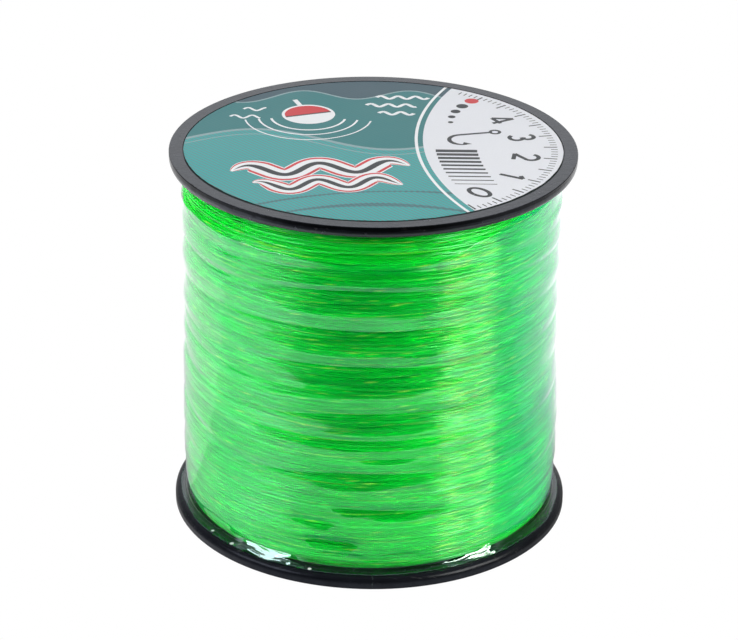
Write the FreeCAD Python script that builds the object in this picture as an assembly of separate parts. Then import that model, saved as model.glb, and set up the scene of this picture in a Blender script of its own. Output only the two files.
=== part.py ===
import FreeCAD, Part
import math
import os

from FreeCAD import Vector

# Fishing line spool, standing on its lower flange.
# Frame: millimetres, +Z up along the spool's axis, origin on that axis at the resting face.
# The -Y side is the side that faces the viewer.

# ---------------------------------------------------------------- driving dimensions
overall_h = 75.5          # resting face to the upper flange's outer ring
flange_r = 39.5           # outer radius of both flanges
flange_t = 2.4            # thickness of the flanges at the rim
rim_corner_r = 1.25       # rounded line-side corner of the rim
rim_edge_c = 0.12         # small break on the outer corner of the rim
seat_r = 36.85            # radius of the label seat
seat_depth = 0.22         # depth of the label seat below the outer ring

dish_in_r = 11.6          # ribbed dish around the arbor, inside the label seat
dish_out_r = 24.4
dish_floor_t = 0.95       # plastic left under the dish
rib_w = 1.3
rib_count = 6

arbor_bore_r = 8.0        # bore for a 5/8 inch spindle
arbor_wall = 1.6
arbor_lip_r = 8.3         # opening in the flange outside the tube's end
arbor_lip_t = 0.75        # flange plastic that traps the tube's end
arbor_socket_wall = 1.5
arbor_socket_h = 6.0

barrel_r = 27.5           # outer radius of the drum that carries the line
barrel_wall = 1.6
barrel_socket_wall = 1.5
barrel_socket_h = 5.0
joint_gap = 0.02          # glue film in the round joints

tape_w = 12.0             # start tape, measured along the axis
tape_arc_deg = 64.0
tape_t = 0.10
tape_z = 9.0              # height of the tape's centre

line_d = 0.46             # diameter of the line
groove_w = 0.60           # groove and slit for the free end of the line
groove_depth = 0.62
groove_in_r = 33.5
end_in_r = 34.2
end_leg_r = 38.75
end_bend_r = 0.80
end_az_deg = 97.0         # the free end is at the back

film_gap = 0.06           # the film's distance from the winding
film_t = 0.12
film_top_z = 69.3
film_edge_r = 38.35       # edge of the film on the lower flange's inner face

label_r = 36.70
label_t = 0.16

# Outside of the winding: height and radius. The line was traversed in bands about 8 mm apart.
winding_profile = [
    (2.40, 35.55), (3.10, 36.45), (4.30, 37.00), (6.50, 37.18), (8.50, 37.00), (10.50, 37.12),
    (13.00, 37.52), (15.20, 37.20), (17.00, 36.98), (19.80, 37.55), (22.50, 37.20), (25.80, 36.75),
    (29.00, 36.95), (31.80, 37.25), (34.80, 36.60), (38.50, 37.10), (41.00, 37.15), (43.60, 36.50),
    (47.10, 37.15), (50.00, 36.35), (54.30, 37.10), (58.20, 36.30), (61.70, 37.00), (64.00, 36.60),
    (66.20, 36.95), (68.80, 36.75), (71.00, 36.60), (72.30, 36.15), (73.10, 35.60),
]

# ---------------------------------------------------------------- derived
z_low = flange_t                      # line-side face of the lower flange
z_high = overall_h - flange_t         # line-side face of the upper flange
barrel_in_r = barrel_r - barrel_wall
arbor_out_r = arbor_bore_r + arbor_wall

os.makedirs("parts", exist_ok=True)


def ring(r_in, r_out, z0, z1):
    """A plain tube between two radii and two heights."""
    outer = Part.makeCylinder(r_out, z1 - z0, Vector(0, 0, z0))
    if r_in <= 0:
        return outer
    inner = Part.makeCylinder(r_in, z1 - z0 + 2.0, Vector(0, 0, z0 - 1.0))
    return outer.cut(inner)


def revolved(edges):
    """A solid of revolution about the axis, from a closed outline in the XZ plane."""
    face = Part.Face(Part.Wire(edges))
    return face.revolve(Vector(0, 0, 0), Vector(0, 0, 1), 360)


def outline(points):
    """Straight edges through (radius, height) points, closed."""
    at = [Vector(r, 0, z) for r, z in points]
    return [Part.LineSegment(at[i], at[(i + 1) % len(at)]).toShape() for i in range(len(at))]


def spline(points):
    """One smooth edge through (radius, height) points."""
    curve = Part.BSplineCurve()
    curve.interpolate([Vector(r, 0, z) for r, z in points])
    return curve.toShape()


def solid_of(shape):
    """The single clean solid in a shape."""
    shape = shape.removeSplitter()
    solids = shape.Solids
    if len(solids) != 1:
        raise ValueError("expected one solid, found %d" % len(solids))
    return solids[0]


def flange():
    """One flange, outer ring face at z = 0 and line-side face at z = flange_t. It is the lower one."""
    c = rim_edge_c
    r = rim_corner_r
    k = r * (1.0 - math.cos(math.pi / 4.0))
    a = Vector(0, 0, seat_depth)
    b = Vector(seat_r - 0.06, 0, seat_depth)
    b2 = Vector(seat_r, 0, seat_depth - 0.06)
    d = Vector(seat_r, 0, 0)
    e = Vector(flange_r - c, 0, 0)
    f = Vector(flange_r, 0, c)
    g = Vector(flange_r, 0, flange_t - r)
    mid = Vector(flange_r - k, 0, flange_t - k)
    h = Vector(flange_r - r, 0, flange_t)
    i = Vector(0, 0, flange_t)
    edges = [
        Part.LineSegment(a, b).toShape(),
        Part.LineSegment(b, b2).toShape(),
        Part.LineSegment(b2, d).toShape(),
        Part.LineSegment(d, e).toShape(),
        Part.LineSegment(e, f).toShape(),
        Part.LineSegment(f, g).toShape(),
        Part.Arc(g, mid, h).toShape(),
        Part.LineSegment(h, i).toShape(),
        Part.LineSegment(i, a).toShape(),
    ]
    body = revolved(edges)

    # the dish around the arbor, with its ribs left standing to the label seat
    dish = ring(dish_in_r, dish_out_r, -0.5, flange_t - dish_floor_t)
    for n in range(rib_count):
        rib = Part.makeBox(dish_out_r + 4.0, rib_w, 6.0, Vector(0, -rib_w / 2.0, -3.0))
        rib.rotate(Vector(0, 0, 0), Vector(0, 0, 1), 30.0 + 360.0 / rib_count * n)
        dish = dish.cut(rib)
    body = body.cut(dish)

    # the sockets on the line side
    socket_out_r = barrel_in_r - joint_gap
    body = body.fuse(ring(socket_out_r - barrel_socket_wall, socket_out_r, flange_t - 0.5, flange_t + barrel_socket_h))
    hub_in_r = arbor_out_r + joint_gap
    body = body.fuse(ring(0, hub_in_r + arbor_socket_wall, flange_t - 0.5, flange_t + arbor_socket_h))

    # the seat of the arbor tube, then the opening outside its end
    body = body.cut(ring(0, hub_in_r, arbor_lip_t, flange_t + arbor_socket_h + 1.0))
    body = body.cut(ring(0, arbor_lip_r, -1.0, flange_t + 1.0))
    return solid_of(body)


def turned_over(shape):
    """A lower-flange shape turned over and set at the top of the spool."""
    s = shape.copy()
    s.rotate(Vector(0, 0, overall_h / 2.0), Vector(1, 0, 0), 180)
    return s


def radial_box(r0, r1, width, z0, z1, az_deg):
    """A box along a radius."""
    b = Part.makeBox(r1 - r0, width, z1 - z0, Vector(r0, -width / 2.0, z0))
    b.rotate(Vector(0, 0, 0), Vector(0, 0, 1), az_deg)
    return b


# ---------------------------------------------------------------- flanges
blank = flange()
upper_flange = turned_over(blank)

# the lower flange has a shallow groove for the free end of the line, and a slit through its rim
groove = radial_box(groove_in_r, flange_r + 2.0, groove_w, z_low - groove_depth, z_low + 1.0, end_az_deg)
slit = radial_box(end_leg_r - 0.40, flange_r + 2.0, groove_w, -1.0, z_low + 1.0, end_az_deg)
lower_flange = solid_of(blank.cut(groove.fuse(slit)))

# ---------------------------------------------------------------- drum and arbor
core_barrel = ring(barrel_in_r, barrel_r, z_low, z_high)
arbor_tube = ring(arbor_bore_r, arbor_out_r, arbor_lip_t, overall_h - arbor_lip_t)

# ---------------------------------------------------------------- start tape
tape_ring = ring(barrel_r + joint_gap, barrel_r + joint_gap + tape_t, tape_z - tape_w / 2.0, tape_z + tape_w / 2.0)
wedge_far = 60.0
half = math.radians(tape_arc_deg / 2.0)
wedge_pts = [
    Vector(0, 0, 0),
    Vector(wedge_far * math.cos(-half), wedge_far * math.sin(-half), 0),
    Vector(wedge_far * 1.3, 0, 0),
    Vector(wedge_far * math.cos(half), wedge_far * math.sin(half), 0),
    Vector(0, 0, 0),
]
wedge = Part.Face(Part.makePolygon(wedge_pts)).extrude(Vector(0, 0, overall_h))
start_tape = solid_of(tape_ring.common(wedge))

# ---------------------------------------------------------------- winding
winding_in_r = barrel_r + 2.0 * joint_gap + tape_t
outer_pts = [(r, z) for z, r in winding_profile]
wind_edges = [
    spline(outer_pts),
    Part.LineSegment(Vector(outer_pts[-1][0], 0, z_high), Vector(winding_in_r, 0, z_high)).toShape(),
    Part.LineSegment(Vector(winding_in_r, 0, z_high), Vector(winding_in_r, 0, z_low)).toShape(),
    Part.LineSegment(Vector(winding_in_r, 0, z_low), Vector(outer_pts[0][0], 0, z_low)).toShape(),
]
line_winding = solid_of(revolved(wind_edges))

# ---------------------------------------------------------------- film
# It follows the winding a hair outside it, then turns out over the lower flange's inner face.
foot_z = z_low + 0.06
upper_pts = [(r, z) for z, r in winding_profile if 6.0 <= z <= 67.0]
top_r = 36.76
inner_pts = [(r + film_gap, z) for r, z in upper_pts] + [(top_r + film_gap, film_top_z)]
outer_film = [(r + film_gap + film_t, z) for r, z in upper_pts] + [(top_r + film_gap + film_t, film_top_z)]
flare_in = [(film_edge_r, foot_z), (37.55, foot_z + 0.02), (37.28, 3.20), (37.20, 4.30), inner_pts[0]]
flare_out = [(film_edge_r, foot_z + film_t), (37.72, foot_z + film_t + 0.06), (37.44, 3.30), (37.36, 4.30), outer_film[0]]


def path(points):
    return [Part.LineSegment(Vector(a[0], 0, a[1]), Vector(b[0], 0, b[1])).toShape() for a, b in zip(points, points[1:])]


film_edges = (
    path(flare_in)
    + [spline(inner_pts)]
    + path([inner_pts[-1], outer_film[-1]])
    + [spline(outer_film)]
    + path(flare_out[::-1])
    + path([flare_out[0], flare_in[0]])
)
shrink_film = solid_of(revolved(Part.__sortEdges__(film_edges)))

# ---------------------------------------------------------------- free end of the line
# It lies in the groove, bends down through the slit and is cut off just above the resting face.
zc = z_low - line_d / 2.0 - 0.04
b = end_bend_r
m = b * (1.0 - math.cos(math.pi / 4.0))
p0 = Vector(end_in_r, 0, zc)
p1 = Vector(end_leg_r - b, 0, zc)
pm = Vector(end_leg_r - m, 0, zc - m)
p2 = Vector(end_leg_r, 0, zc - b)
p3 = Vector(end_leg_r, 0, 0.12)
end_path = Part.Wire([
    Part.LineSegment(p0, p1).toShape(),
    Part.Arc(p1, pm, p2).toShape(),
    Part.LineSegment(p2, p3).toShape(),
])
end_section = Part.Wire([Part.makeCircle(line_d / 2.0, p0, Vector(1, 0, 0))])
line_end = end_path.makePipeShell([end_section], True, True)
line_end = Part.Solid(line_end) if line_end.ShapeType != "Solid" else line_end
line_end.rotate(Vector(0, 0, 0), Vector(0, 0, 1), end_az_deg)
end_length = (p1 - p0).Length + b * math.pi / 2.0 + (p3 - p2).Length
print("line_end volume %.3f, section times length %.3f" % (line_end.Volume, math.pi * (line_d / 2.0) ** 2 * end_length))

# ---------------------------------------------------------------- label
label_bottom = overall_h - seat_depth
top_label = Part.makeCylinder(label_r, label_t, Vector(0, 0, label_bottom))

# ---------------------------------------------------------------- write
nodes = {
    "upper_flange": upper_flange,
    "lower_flange": lower_flange,
    "core_barrel": core_barrel,
    "arbor_tube": arbor_tube,
    "start_tape": start_tape,
    "line_winding": line_winding,
    "shrink_film": shrink_film,
    "line_end": line_end,
    "top_label": top_label,
}
for name, shape in nodes.items():
    if not shape.isValid():
        raise ValueError(name + " is not valid")
    shape.exportStep("parts/" + name + ".step")
    bb = shape.BoundBox
    print("%-14s volume %10.2f  z %.3f..%.3f  r %.3f" % (name, shape.Volume, bb.ZMin, bb.ZMax, bb.XMax))
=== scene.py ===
import math

import bpy
import numpy as np
from mathutils import Matrix, Vector
from mathutils.geometry import delaunay_2d_cdt


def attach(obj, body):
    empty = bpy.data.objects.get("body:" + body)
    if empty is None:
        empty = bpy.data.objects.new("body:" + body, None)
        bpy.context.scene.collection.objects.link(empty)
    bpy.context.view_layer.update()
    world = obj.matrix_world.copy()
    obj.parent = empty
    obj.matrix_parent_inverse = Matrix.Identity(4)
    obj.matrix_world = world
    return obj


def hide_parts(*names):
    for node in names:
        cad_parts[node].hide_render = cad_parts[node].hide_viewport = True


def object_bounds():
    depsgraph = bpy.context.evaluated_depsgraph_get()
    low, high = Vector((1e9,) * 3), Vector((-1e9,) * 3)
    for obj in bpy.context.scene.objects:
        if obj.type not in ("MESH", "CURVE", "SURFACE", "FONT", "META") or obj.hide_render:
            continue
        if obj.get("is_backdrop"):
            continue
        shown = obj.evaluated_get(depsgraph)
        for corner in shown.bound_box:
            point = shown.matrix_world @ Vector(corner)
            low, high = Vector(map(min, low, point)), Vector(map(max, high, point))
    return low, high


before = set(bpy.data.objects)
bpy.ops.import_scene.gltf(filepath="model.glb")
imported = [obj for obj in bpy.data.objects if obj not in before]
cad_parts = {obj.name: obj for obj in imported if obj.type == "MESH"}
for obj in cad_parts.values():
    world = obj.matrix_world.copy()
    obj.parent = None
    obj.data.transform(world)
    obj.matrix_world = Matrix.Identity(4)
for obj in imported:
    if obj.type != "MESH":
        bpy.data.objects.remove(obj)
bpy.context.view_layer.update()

# Everything below is worked out in millimetres in the part's own frame and written to the meshes in metres.
# Azimuths are in degrees from +X; the side towards the viewer is at -90.
MM = 0.001
rng = np.random.default_rng(20617)


# ---------------------------------------------------------------- small tools
def smooth01(t):
    t = np.clip(t, 0.0, 1.0)
    return t * t * (3.0 - 2.0 * t)


def wrap_deg(a):
    return (np.asarray(a, float) + 180.0) % 360.0 - 180.0


def ring_noise(n, cycles, seed, octaves=3):
    """Smooth closed noise of about unit size round a turn of n samples."""
    g = np.random.default_rng(seed)
    t = np.arange(n) / n * 2 * np.pi
    out = np.zeros(n)
    amp = 1.0
    for o in range(octaves):
        for k in range(3):
            c = max(1, int(round(cycles * 2 ** o * g.uniform(0.7, 1.4))))
            out += amp * math.sqrt(2 / 3) * np.sin(c * t + g.uniform(0, 6.283)) * g.uniform(0.6, 1.0)
        amp *= 0.55
    return out


def gauss(a, sigma, axis=-1, mode="wrap"):
    """Gaussian blur along one axis."""
    r = max(1, int(math.ceil(sigma * 3)))
    k = np.exp(-0.5 * (np.arange(-r, r + 1) / sigma) ** 2)
    k /= k.sum()
    a = np.moveaxis(np.asarray(a, float), axis, -1)
    pad = [(0, 0)] * (a.ndim - 1) + [(r, r)]
    p = np.pad(a, pad, mode=mode)
    out = np.zeros_like(a)
    n = a.shape[-1]
    for i, w in enumerate(k):
        out += w * p[..., i:i + n]
    return np.moveaxis(out, -1, axis)


def make_mesh(name, verts, faces, smooth=True, mats=(), mat_index=None, uv=None, sharp=None):
    """A mesh object from arrays: verts (n, 3) in mm, faces a list of integer arrays, all with 3 or 4 columns."""
    blocks = [np.asarray(f, np.int32) for f in faces if len(f)]
    me = bpy.data.meshes.new(name)
    verts = np.asarray(verts, float)
    me.vertices.add(len(verts))
    me.vertices.foreach_set("co", (verts * MM).astype(np.float32).ravel())
    loops = np.concatenate([b.ravel() for b in blocks])
    starts, s = [], 0
    for b in blocks:
        starts.append(s + np.arange(len(b)) * b.shape[1])
        s += b.size
    starts = np.concatenate(starts).astype(np.int32)
    me.loops.add(len(loops))
    me.loops.foreach_set("vertex_index", loops)
    me.polygons.add(len(starts))
    me.polygons.foreach_set("loop_start", starts)
    if mat_index is not None:
        me.polygons.foreach_set("material_index", np.asarray(mat_index, np.int32))
    me.update(calc_edges=True)
    me.polygons.foreach_set("use_smooth", np.full(len(starts), bool(smooth)))
    if uv is not None:
        layer = me.uv_layers.new(name="OFBake")
        layer.data.foreach_set("uv", np.asarray(uv, np.float32).ravel())
    for m in mats:
        me.materials.append(m)
    ob = bpy.data.objects.new(name, me)
    bpy.context.scene.collection.objects.link(ob)
    return ob


def colour_attribute(ob, name, rgb):
    a = ob.data.color_attributes.new(name, "FLOAT_COLOR", "POINT")
    rgba = np.ones((len(ob.data.vertices), 4), np.float32)
    rgba[:, :3] = rgb
    a.data.foreach_set("color", rgba.ravel())


def grid_faces(nu, nv, wrap_u=True, offset=0, flip=False):
    """Quads of a grid of nu columns (round the axis) by nv rows."""
    u = np.arange(nu if wrap_u else nu - 1)
    v = np.arange(nv - 1)
    U, V = np.meshgrid(u, v, indexing="ij")
    a = U * nv + V
    b = ((U + 1) % nu) * nv + V
    q = np.stack([a, b, b + 1, a + 1], -1).reshape(-1, 4) + offset
    return q[:, ::-1] if flip else q


# ---------------------------------------------------------------- the outside of the winding, as the film shows it
Z_LOW, Z_HIGH = 2.40, 73.10
BASE = np.array([
    (2.40, 35.60), (2.80, 36.05), (3.30, 36.55), (4.30, 37.00), (6.00, 37.28), (9.00, 37.42), (14.0, 37.50),
    (20.0, 37.52), (27.0, 37.40), (34.0, 37.38), (41.0, 37.34), (48.0, 37.22), (55.0, 37.26), (61.0, 37.16),
    (66.0, 37.08), (69.5, 36.92), (71.2, 36.72), (72.2, 36.38), (72.8, 35.95), (73.1, 35.60),
])

# Creases between the bands of the winding: (azimuth, height, depth) points, then the reach above and below. A point
# may give a reach below of its own.
CREASES = [
    # close under the film's upper edge
    ([(-160, 64.6, 0.0), (-144, 64.2, .20, 2.0), (-138, 63.8, .46, 2.0), (-128, 64.4, .38, 2.6), (-118, 64.8, .36), (-100, 65.0, .42), (-75, 64.8, .38), (-45, 64.7, .36), (-25, 64.0, .1), (0, 63.4, .42),
      (40, 63.2, .4), (90, 64.0, .3), (150, 64.8, .2), (185, 64.6, .0)], 2.3, 3.0),
    ([(-180, 58.4, .80, 2.7), (-165, 59.0, .78, 2.8), (-145, 59.3, .60, 3.0), (-130, 59.9, .50, 3.6), (-118, 60.7, .46), (-95, 61.6, .48), (-80, 61.2, .46), (-60, 60.5, .34), (-40, 60.2, .30),
      (-18, 59.2, .30), (0, 58.1, .52), (50, 57.6, .5), (100, 58.6, .5), (150, 58.2, .55), (180, 58.4, .80, 2.7)], 1.1, 4.9),
    ([(-180, 50.5, .72), (-160, 52.0, .50), (-140, 52.9, .54, 3.6), (-128, 53.1, .60, 4.2), (-110, 53.2, .64), (-90, 53.0, .68), (-70, 53.1, .60), (-48, 52.6, .50), (-30, 52.1, .50),
      (0, 50.0, .72), (45, 50.4, .6), (90, 51.5, .6), (140, 50.2, .6), (180, 50.5, .72)], 3.6, 4.8),
    ([(-180, 43.6, .64), (-150, 44.0, .36), (-125, 45.2, .36), (-112, 45.9, .52), (-90, 46.0, .56), (-78, 45.6, .46), (-60, 45.0, .30), (-30, 43.8, .3),
      (0, 43.4, .62), (45, 43.9, .5), (90, 42.8, .5), (140, 43.7, .55), (180, 43.6, .64)], 2.2, 6.8),
    ([(-180, 41.2, .20), (-160, 41.0, .30), (-140, 40.8, .30), (-120, 40.6, .24), (-108, 40.5, 0)], 1.2, 1.4),
    ([(-180, 34.8, .80, 1.8), (-165, 34.9, .64, 1.9), (-150, 34.4, .42, 2.4), (-135, 34.1, .40, 3.0), (-120, 34.8, .46), (-98, 36.2, .56), (-75, 36.3, .56), (-55, 36.6, .40), (-38, 37.0, .44),
      (-20, 36.0, .40), (0, 34.7, .50), (45, 35.4, .5), (90, 34.4, .6), (140, 35.2, .5), (180, 34.8, .80, 1.8)], 3.3, 4.5),
    ([(-150, 31.2, 0), (-128, 31.0, .30), (-105, 30.8, .40), (-88, 30.7, .36), (-68, 30.9, .28), (-50, 31.2, 0)], 0.9, 2.0),
    ([(-96, 27.0, 0), (-90, 26.9, .22), (-82, 26.9, .22), (-76, 27.0, .05), (-55, 27.6, .15), (-25, 28.2, .25), (0, 28.3, .46), (45, 27.4, .5), (90, 26.2, .5), (140, 26.4, .55),
      (180, 25.9, .72), (195, 25.0, .50), (215, 23.4, .28), (235, 22.6, .0)], 1.5, 1.6),
    ([(-144, 21.2, 0), (-131, 21.9, .46, 2.6), (-118, 22.6, .54, 3.6), (-108, 23.1, .58), (-98, 23.7, .68), (-84, 23.6, .68), (-68, 23.2, .56), (-48, 21.4, .36), (-36, 21.0, .2), (-22, 21, 0)], 2.0, 4.3),
    ([(-180, 17.0, .42), (-165, 17.2, .24), (-150, 17.2, 0)], 1.6, 2.2),
    ([(-104, 16.4, 0), (-97, 16.2, .56), (-84, 15.8, .80), (-70, 15.2, .78), (-62, 14.8, .12), (-35, 15.6, .10), (0, 17.6, .34), (45, 17.0, .4), (90, 18.2, .4), (140, 17.4, .45), (180, 17.0, .42)], 1.6, 2.5),
    ([(-116, 12.6, 0), (-111, 12.8, .84), (-102, 12.9, .86), (-98, 12.7, 0)], 1.0, 2.3),
    ([(-111, 8.6, 0), (-107, 8.7, .86), (-96, 8.6, .88), (-92, 8.4, 0)], 1.0, 2.3),
    ([(-45, 9.6, 0), (-38, 9.9, .22), (-24, 10.2, .30), (0, 9.6, .30), (60, 9.2, .3), (130, 10.0, .3), (180, 9.9, .30), (205, 9.7, 0)], 1.4, 2.2),
    ([(-128, 5.9, 0), (-123, 6.0, .50), (-115, 6.0, .50), (-111, 5.9, 0)], 0.5, 1.3),
    ([(-106, 5.9, 0), (-102, 6.0, .50), (-94, 5.9, .50), (-91, 5.8, 0)], 0.5, 1.3),
    ([(-87, 5.9, 0), (-83, 6.0, .44), (-77, 6.1, .44), (-74, 6.0, 0)], 0.5, 1.2),
    ([(-152, 5.4, 0), (-147, 5.5, .50), (-140, 5.5, .50), (-136, 5.4, 0)], 0.5, 1.2),
]


def crease_tracks(phi_deg):
    """Height, depth and reaches of each crease at the given azimuths."""
    out = []
    for pts, above, below in CREASES:
        a, z, d, w = np.array([q_ if len(q_) == 4 else (*q_, below) for q_ in pts], float).T
        closed = abs((a[-1] - a[0]) - 360.0) < 1e-6
        fine = np.arange(a[0], a[-1] + 0.5, 1.0)
        zz, dd, ww = np.interp(fine, a, z), np.interp(fine, a, d), np.interp(fine, a, w)
        mode = "wrap" if closed else "edge"
        if closed:
            zz[:-1], dd[:-1] = gauss(zz[:-1], 4.0, mode=mode), gauss(dd[:-1], 4.0, mode=mode)
            zz[-1], dd[-1] = zz[0], dd[0]
        else:
            zz = gauss(zz, 3.0, mode=mode)
        # the azimuth is looked up in the crease's own span
        q = a[0] + (np.asarray(phi_deg, float) - a[0]) % 360.0
        inside = q <= a[-1]
        z_at = np.interp(q, fine, zz)
        d_at = np.where(inside, np.interp(q, fine, dd), 0.0)
        out.append((z_at, d_at, above, np.interp(q, fine, ww)))
    return out


def flank(t, reach):
    """One flank of a crease: 1 at the crease, falling evenly to 0 at its reach, with a soft end."""
    q = 1.0 - t / reach
    return 0.5 * (q + np.sqrt(q * q + 0.02)) / 1.005


def skin_radius(phi_deg, z, soften=0.0):
    """Outer radius of the film-covered winding on a grid of azimuths and heights, in mm. soften rounds the creases."""
    phi = np.asarray(phi_deg, float)
    z = np.asarray(z, float)
    r = np.interp(z, BASE[:, 0], BASE[:, 1])[None, :].repeat(len(phi), 0)
    # the pack is a little slimmer on the right, above its lower third
    r = r - 0.38 * smooth01((z - 20.0) / 14.0)[None, :] * ((0.5 + 0.5 * np.cos(np.radians(phi))) ** 2)[:, None]
    r = r - 0.36 * smooth01((z - 65.2) / 5.2)[None, :] * ((0.5 + 0.5 * np.cos(np.radians(phi))) ** 2)[:, None]
    n = 720
    full = (wrap_deg(phi) + 180.0) / 360.0 * n
    idx = np.arange(n)
    for k, (amp, length, cyc) in enumerate(((0.07, 9.0, 2), (0.035, 3.6, 4))):
        for j in range(5):
            ph = ring_noise(n, cyc, 500 + 17 * k + j, 2)
            am = 0.5 + 0.5 * np.tanh(ring_noise(n, cyc, 900 + 13 * k + j, 2))
            w = length * (0.8 + 0.12 * j)
            p_at = np.interp(full, idx, ph, period=n)
            a_at = np.interp(full, idx, am, period=n)
            r = r + amp / 2.2 * a_at[:, None] * np.sin(2 * np.pi * z[None, :] / w + 1.7 * p_at[:, None] + j * 1.3)
    ends = smooth01((z - Z_LOW) / 3.0) * smooth01((Z_HIGH - z) / 2.5)
    for z_at, d_at, above, below in crease_tracks(phi):
        t = z[None, :] - z_at[:, None]
        if soften:
            t = np.sign(t) * (np.sqrt(t * t + soften * soften) - soften)
        # the film falls back to a crease from above and stands out again below it, steeply at first
        under = 0.28 * flank(-t, 0.8) + 0.72 * flank(-t, below[:, None])
        cusp = np.where(t > 0, flank(t, above), under)
        r = r - d_at[:, None] * cusp * ends[None, :]
    return r


# ---------------------------------------------------------------- winding the line
LINE_R = 0.23
NA = 144            # samples in one turn
DZ = 0.046
Z_CELLS = np.arange(Z_LOW, Z_HIGH + DZ, DZ)
PHI_A = -180.0 + 360.0 * np.arange(NA) / NA

FILM_T = 0.05
FILM_GAP = 0.05
envelope = skin_radius(PHI_A, Z_CELLS, soften=0.35) - FILM_T - FILM_GAP      # nothing of the line stands above this

CORE_DEPTH = 1.15
ridge_h = LINE_R * 2.0
core_ridge = np.sqrt(np.maximum(LINE_R ** 2 - ((Z_CELLS % ridge_h) - LINE_R) ** 2, 0.0))
core_smooth = gauss(gauss(envelope, 2.0, 0), 12.0, 1, mode="edge") - CORE_DEPTH
height = core_smooth - LINE_R + core_ridge[None, :]


def contact(height, col, z):
    """Centre radius of a line laid at azimuth columns col and heights z, resting on what is there."""
    best = np.full(len(z), -1.0)
    cell = (z - Z_LOW) / DZ
    reach = int(LINE_R / DZ)
    base = np.round(cell).astype(int)
    for j in range(-reach, reach + 1):
        k = np.clip(base + j, 0, height.shape[1] - 1)
        dz = (k - cell) * DZ
        best = np.maximum(best, height[col, k] + np.sqrt(np.maximum(LINE_R ** 2 - dz ** 2, 0.0)))
    return best


def lay(height, col, z, rc):
    cell = (z - Z_LOW) / DZ
    base = np.round(cell).astype(int)
    reach = int(LINE_R / DZ)
    for j in range(-reach, reach + 1):
        k = np.clip(base + j, 0, height.shape[1] - 1)
        dz = (k - cell) * DZ
        np.maximum.at(height, (col, k), rc + np.sqrt(np.maximum(LINE_R ** 2 - dz ** 2, 0.0)))


# Each pass of the line guide along the spool: turns' pitch, how unevenly it moves, and how far the line strays.
PASSES = [(0.50, 0.10, 0.04), (0.54, 0.15, 0.06), (0.62, 0.25, 0.08), (0.68, 0.30, 0.09), (0.74, 0.36, 0.11),
          (0.80, 0.40, 0.12), (0.70, 0.40, 0.13), (0.80, 0.46, 0.15)]
zs_fine = np.arange(Z_LOW + LINE_R + 0.05, Z_HIGH - LINE_R - 0.05, 0.01)
path_col, path_z, path_r = [], [], []
sample = 0
for n, (pitch, uneven, stray) in enumerate(PASSES):
    g = np.random.default_rng(300 + n)
    jitter = gauss(g.normal(0, 1, len(zs_fine)), 60.0, mode="edge") * math.sqrt(60.0 * 3.54)
    speed = 1.0 + uneven * (0.36 * np.sin(2 * np.pi * zs_fine / 8.2 + g.uniform(-0.9, 0.9)) + 0.25 * np.sin(2 * np.pi * zs_fine / 3.1 + g.uniform(0, 6.28)) + 0.25 * np.clip(jitter, -1.5, 1.5))
    speed = np.maximum(speed, 0.35)
    ends = np.minimum(zs_fine - zs_fine[0], zs_fine[-1] - zs_fine)
    speed *= 0.45 + 0.55 * smooth01(ends / 2.0)
    t = np.cumsum(1.0 / speed)
    turns = (zs_fine[-1] - zs_fine[0]) / pitch
    t = (t - t[0]) / (t[-1] - t[0]) * turns
    count = int(turns * NA)
    k = np.arange(count) / NA
    z = np.interp(k, t, zs_fine)
    if n % 2 == 0:
        z = zs_fine[0] + zs_fine[-1] - z
    wander = g.normal(0, 1, count)
    wander = gauss(wander, 18.0, mode="edge") * math.sqrt(18.0 * 3.54) * stray
    z = np.clip(z + wander * smooth01(np.minimum(z - zs_fine[0], zs_fine[-1] - z) / 1.0), zs_fine[0], zs_fine[-1])
    col = (sample + np.arange(count)) % NA
    # the line slips sideways into the lowest place near where it is laid
    shifts = np.arange(-7, 8) * DZ
    depth = np.stack([contact(height, col, np.clip(z + s, zs_fine[0], zs_fine[-1])) + 0.05 * abs(s) for s in shifts])
    slip = shifts[gauss(depth, 4.0, 1, mode="edge").argmin(0)]
    z = np.clip(z + gauss(slip, 3.0, mode="edge"), zs_fine[0], zs_fine[-1])
    rc = contact(height, col, z)
    for _ in range(4):
        rc = np.maximum(rc, gauss(rc, 3.0, mode="edge"))
    rc = gauss(rc, 1.6, mode="edge")
    lay(height, col, z, rc)
    path_col.append(col), path_z.append(z), path_r.append(rc)
    sample += count
path_col, path_z, path_r = np.concatenate(path_col), np.concatenate(path_z), np.concatenate(path_r)

# the whole lot is eased in or out so that its outside meets the envelope
top = height.copy()
win = int(1.1 / DZ)
for j in range(-win, win + 1, 2):
    top = np.maximum(top, np.roll(height, j, 1) if abs(j) == 0 else np.pad(height, [(0, 0), (win, win)], mode="edge")[:, win + j:win + j + height.shape[1]])
top = gauss(gauss(top, 4.0, 0), 9.0, 1, mode="edge")
ease = envelope - top
ease = gauss(ease, 2.0, 0)
cell = np.clip(np.round((path_z - Z_LOW) / DZ).astype(int), 0, len(Z_CELLS) - 1)
path_r = path_r + ease[path_col, cell]
over = path_r + LINE_R - envelope[path_col, cell]
path_r = path_r - np.maximum(over, 0.0) * 0.92
# drawn tight, the turns bed down into one another, so the hollows between them are shallower than the lines are thick
depth_of = envelope[path_col, cell] - LINE_R - path_r
path_r = path_r + 0.32 * np.maximum(depth_of, 0.0)
final_height = height + ease

count = len(path_z)
turn_of = np.arange(count) // NA
print("line: %d turns, %.1f m in strands, over the envelope by %.3f mm at most" % (
    turn_of[-1] + 1, (2 * np.pi * path_r / NA).sum() / 1000.0, (path_r + LINE_R - envelope[path_col, cell]).max()))

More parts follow.
